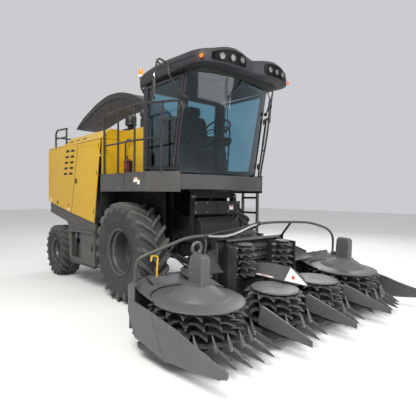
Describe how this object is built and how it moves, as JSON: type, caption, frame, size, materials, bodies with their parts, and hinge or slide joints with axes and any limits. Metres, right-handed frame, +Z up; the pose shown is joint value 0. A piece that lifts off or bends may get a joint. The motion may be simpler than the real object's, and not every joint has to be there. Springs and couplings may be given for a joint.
{
  "type": "forage harvester",
  "caption": "Self-propelled forage harvester with cab, engine bay, slewing discharge spout, steered rear axle and a wide rotary crop header on a lifting feeder.",
  "frame": {"origin": "middle of the outline in plan, at ground level", "axes": "+X forward, +Y to the machine's left, +Z up"},
  "size_m": [7.64, 4.16, 3.912],
  "materials": {
    "yellow_paint": "gloss",
    "grey_paint": "satin",
    "dark_paint": "satin",
    "black_paint": "satin",
    "tyre_rubber": "matte",
    "rim_paint": "satin",
    "bare_steel": "satin",
    "tinted_glass": "gloss",
    "seat_fabric": "matte",
    "engine_iron": "matte",
    "roof_shell": "satin"
  },
  "bodies": {
    "chassis": {"front_axle": "black_paint", "rear_axle": "black_paint", "main_frame": "black_paint", "engine_block": "engine_iron", "chopper_housing": "dark_paint", "side_box_R": "grey_paint", "side_box_L": "grey_paint", "rear_quarter_R": "yellow_paint", "rear_quarter_L": "yellow_paint", "rear_grille": "dark_paint", "upper_hood": "yellow_paint", "rear_guard_rail": "black_paint", "front_hood": "yellow_paint", "air_cleaner": "black_paint", "platform_R": "grey_paint", "platform_L": "grey_paint", "handrail_R": "black_paint", "handrail_L": "black_paint", "grab_rail_L": "black_paint", "cab_base": "grey_paint", "cab_frame": "dark_paint", "rear_window": "tinted_glass", "windshield": "tinted_glass", "cab_roof": "roof_shell", "seat": "seat_fabric", "steering_column": "dark_paint", "mirror_R": "black_paint", "mirror_L": "black_paint"},
    "front_wheel_R": {"front_tyre_R": "tyre_rubber", "front_rim_R": "rim_paint"},
    "front_wheel_L": {"front_tyre_L": "tyre_rubber", "front_rim_L": "rim_paint"},
    "rear_knuckle_R": {"knuckle_R": "black_paint"},
    "rear_knuckle_L": {"knuckle_L": "black_paint"},
    "rear_wheel_R": {"rear_tyre_R": "tyre_rubber", "rear_rim_R": "rim_paint"},
    "rear_wheel_L": {"rear_tyre_L": "tyre_rubber", "rear_rim_L": "rim_paint"},
    "cab_door_right": {"cab_door_R": "black_paint", "door_glass_R": "tinted_glass"},
    "cab_door_left": {"cab_door_L": "black_paint", "door_glass_L": "tinted_glass"},
    "service_door_right": {"service_door_R": "yellow_paint"},
    "service_door_left": {"service_door_L": "yellow_paint"},
    "header": {"feeder_housing": "black_paint", "header_frame": "grey_paint", "header_guard": "bare_steel"},
    "outer_rotor_right": {"outer_rotor_R": "dark_paint"},
    "outer_rotor_left": {"outer_rotor_L": "dark_paint"},
    "inner_rotor_right": {"inner_rotor_R": "dark_paint"},
    "inner_rotor_left": {"inner_rotor_L": "dark_paint"},
    "feed_drum_right": {"feed_drum_R": "dark_paint"},
    "feed_drum_left": {"feed_drum_L": "dark_paint"},
    "lift_barrel_right": {"lift_barrel_R": "dark_paint"},
    "lift_barrel_left": {"lift_barrel_L": "dark_paint"},
    "lift_rod_right": {"lift_rod_R": "bare_steel"},
    "lift_rod_left": {"lift_rod_L": "bare_steel"},
    "turret": {"spout_turret": "black_paint"},
    "spout": {"spout": "black_paint"},
    "spout_flap": {"spout_flap": "black_paint"}
  },
  "joints": [
    {"name": "front_wheel_R_spin", "type": "hinge", "parent": "chassis", "child": "front_wheel_R", "pos_m": [0.37, -0.967, 0.8025], "axis": [0, 1, 0], "continuous": true},
    {"name": "front_wheel_L_spin", "type": "hinge", "parent": "chassis", "child": "front_wheel_L", "pos_m": [0.37, 0.967, 0.8025], "axis": [0, 1, 0], "continuous": true},
    {"name": "steer_R", "type": "hinge", "parent": "chassis", "child": "rear_knuckle_R", "pos_m": [-2.403, -0.78, 0.53], "axis": [0, 0, 1], "range_deg": [-25, 25]},
    {"name": "rear_wheel_R_spin", "type": "hinge", "parent": "rear_knuckle_R", "child": "rear_wheel_R", "pos_m": [-2.403, -1.017, 0.53], "axis": [0, 1, 0], "continuous": true},
    {"name": "steer_L", "type": "hinge", "parent": "chassis", "child": "rear_knuckle_L", "pos_m": [-2.403, 0.78, 0.53], "axis": [0, 0, 1], "range_deg": [-25, 25]},
    {"name": "rear_wheel_L_spin", "type": "hinge", "parent": "rear_knuckle_L", "child": "rear_wheel_L", "pos_m": [-2.403, 1.017, 0.53], "axis": [0, 1, 0], "continuous": true},
    {"name": "cab_door_right_hinge", "type": "hinge", "parent": "chassis", "child": "cab_door_right", "pos_m": [1.3786, -0.848, 2.092], "axis": [0.1642, 0, 0.9864], "range_deg": [0, 15]},
    {"name": "cab_door_left_hinge", "type": "hinge", "parent": "chassis", "child": "cab_door_left", "pos_m": [1.3786, 0.848, 2.092], "axis": [-0.1642, 0, -0.9864], "range_deg": [0, 60]},
    {"name": "service_door_right_hinge", "type": "hinge", "parent": "chassis", "child": "service_door_right", "pos_m": [-0.496, -1.219, 1.219], "axis": [0.1549, 0, 0.9879], "range_deg": [0, 80]},
    {"name": "service_door_left_hinge", "type": "hinge", "parent": "chassis", "child": "service_door_left", "pos_m": [-0.496, 1.219, 1.219], "axis": [-0.1549, 0, -0.9879], "range_deg": [0, 80]},
    {"name": "header_lift", "type": "hinge", "parent": "chassis", "child": "header", "pos_m": [1.49, 0, 1], "axis": [0, -1, 0], "range_deg": [-2.5, 18]},
    {"name": "outer_rotor_right_spin", "type": "hinge", "parent": "header", "child": "outer_rotor_right", "pos_m": [2.73779, -1.49, 0.41337], "axis": [0.061, 0, 0.9981], "continuous": true},
    {"name": "inner_rotor_right_spin", "type": "hinge", "parent": "header", "child": "inner_rotor_right", "pos_m": [2.9464, -0.438, 0.40061], "axis": [0.061, 0, 0.9981], "continuous": true},
    {"name": "feed_drum_right_spin", "type": "hinge", "parent": "header", "child": "feed_drum_right", "pos_m": [2.402, -0.4, 0.86], "axis": [0, 0, 1], "continuous": true},
    {"name": "outer_rotor_left_spin", "type": "hinge", "parent": "header", "child": "outer_rotor_left", "pos_m": [2.73779, 1.49, 0.41337], "axis": [0.061, 0, 0.9981], "continuous": true},
    {"name": "inner_rotor_left_spin", "type": "hinge", "parent": "header", "child": "inner_rotor_left", "pos_m": [2.9464, 0.438, 0.40061], "axis": [0.061, 0, 0.9981], "continuous": true},
    {"name": "feed_drum_left_spin", "type": "hinge", "parent": "header", "child": "feed_drum_left", "pos_m": [2.402, 0.4, 0.86], "axis": [0, 0, 1], "continuous": true},
    {"name": "lift_barrel_right_pivot", "type": "hinge", "parent": "chassis", "child": "lift_barrel_right", "pos_m": [0.93, -0.49, 0.76], "axis": [0, -1, 0], "range_deg": [-2, 9]},
    {"name": "lift_rod_right_slide", "type": "slide", "parent": "lift_barrel_right", "child": "lift_rod_right", "axis": [0.9842, 0, -0.1769], "range_m": [-0.02, 0.11]},
    {"name": "lift_barrel_left_pivot", "type": "hinge", "parent": "chassis", "child": "lift_barrel_left", "pos_m": [0.93, 0.49, 0.76], "axis": [0, -1, 0], "range_deg": [-2, 9]},
    {"name": "lift_rod_left_slide", "type": "slide", "parent": "lift_barrel_left", "child": "lift_rod_left", "axis": [0.9842, 0, -0.1769], "range_m": [-0.02, 0.11]},
    {"name": "spout_turn", "type": "hinge", "parent": "chassis", "child": "turret", "pos_m": [-0.05, 0, 2.9], "axis": [0, 0, 1], "range_deg": [-90, 90]},
    {"name": "spout_lift", "type": "hinge", "parent": "turret", "child": "spout", "pos_m": [-0.19, 0, 3.06], "axis": [0, 1, 0], "range_deg": [0, 20]},
    {"name": "spout_flap_hinge", "type": "hinge", "parent": "spout", "child": "spout_flap", "pos_m": [-3.39, 0, 3.575], "axis": [0, -1, 0], "range_deg": [0, 60]}
  ],
  "couplings": [
    {"joint": "steer_L", "follows": "steer_R", "ratio": 1},
    {"joint": "lift_barrel_right_pivot", "follows": "header_lift", "ratio": 0.44356},
    {"joint": "lift_rod_right_slide", "follows": "header_lift", "m_per_rad": 0.29898},
    {"joint": "lift_barrel_left_pivot", "follows": "header_lift", "ratio": 0.44356},
    {"joint": "lift_rod_left_slide", "follows": "header_lift", "m_per_rad": 0.29898}
  ]
}
